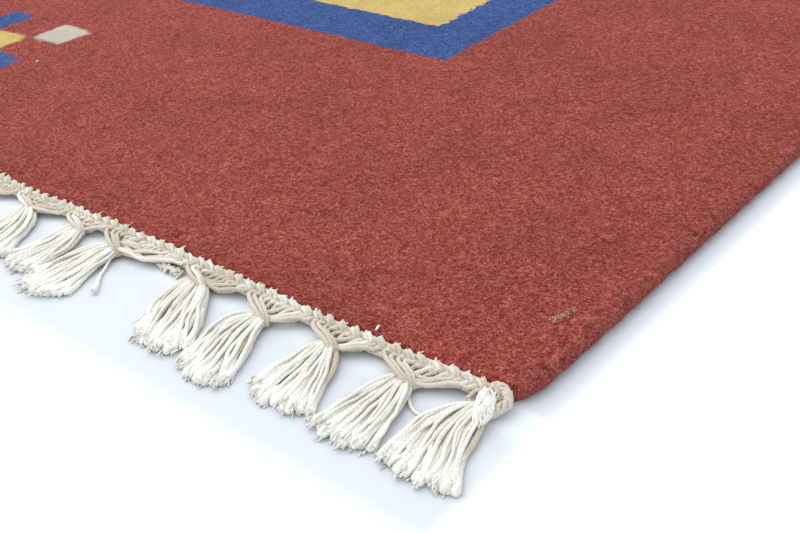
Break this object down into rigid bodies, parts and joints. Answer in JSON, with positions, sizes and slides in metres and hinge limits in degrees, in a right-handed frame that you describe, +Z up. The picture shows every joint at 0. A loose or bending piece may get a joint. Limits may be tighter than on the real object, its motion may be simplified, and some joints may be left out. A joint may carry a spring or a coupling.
{
  "type": "kilim rug",
  "caption": "Flat-woven wool kilim with rolled selvedges, a plaited cotton end finish and knotted tassels at both ends, lying flat on the floor",
  "frame": {"origin": "middle of the rug's bounding box, on the surface it lies on", "axes": "+Z up from the floor; +Y along the warp, the rug's length, away from the fringe at the pictured corner; +X along the weft, towards the selvedge at that corner"},
  "size_m": [0.9222, 1.6021, 0.006],
  "materials": {
    "wool_weave": "weft-faced wool flatweave, brushed and slightly felted; brick red ground with blue, golden yellow and off-white tapestry areas",
    "cotton_warp": "undyed plied cotton warp yarn, plaited along the edge and knotted into tassels with frayed ends"
  },
  "bodies": {
    "root": {"kilim_field": "wool_weave", "fringe_front": "cotton_warp", "fringe_back": "cotton_warp"}
  },
  "joints": []
}
